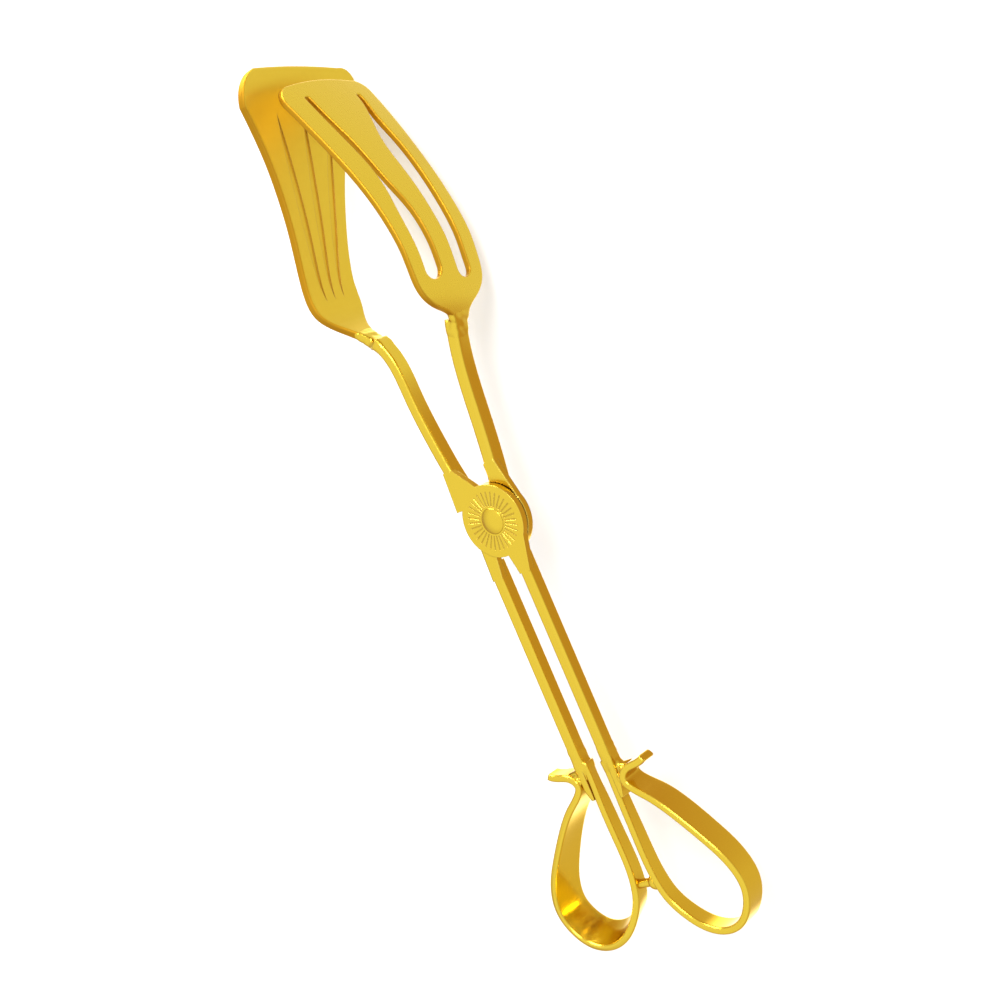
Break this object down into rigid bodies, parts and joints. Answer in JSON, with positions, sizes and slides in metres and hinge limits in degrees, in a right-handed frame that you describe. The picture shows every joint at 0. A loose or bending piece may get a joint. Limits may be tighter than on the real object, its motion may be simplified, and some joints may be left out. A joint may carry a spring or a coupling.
{
  "type": "serving tongs",
  "caption": "Scissor-action serving tongs with a solid blade, a slotted blade, a ray-engraved pivot boss and teardrop finger bows.",
  "frame": {"origin": "on the pivot axis, on the flat back of the rear washer", "axes": "+X along the closed tongs to the blade tips, +Z along the pivot axis towards the engraved front, +Y to the side of the solid blade"},
  "size_m": [0.2401, 0.0653, 0.0409],
  "materials": {
    "polished_plate": "gold plate, polished, with fine wiping scratches",
    "engraved_plate": "gold plate, engraved rays darkened in the cuts",
    "rivet_plate": "gold plate, softly hammered",
    "washer_brass": "bare brass, satin"
  },
  "bodies": {
    "front_half": {"front_shank": "engraved_plate", "solid_blade": "polished_plate", "front_bow": "polished_plate", "pivot_rivet": "rivet_plate", "spacer_washer": "washer_brass", "rear_washer": "washer_brass"},
    "rear_half": {"rear_shank": "polished_plate", "slotted_blade": "polished_plate", "rear_bow": "polished_plate", "stop_stud": "rivet_plate"}
  },
  "joints": [
    {"name": "tongs_pivot", "type": "hinge", "parent": "front_half", "child": "rear_half", "pos_m": [0, 0, 0], "axis": [0, 0, -1], "range_deg": [0, 42]}
  ]
}
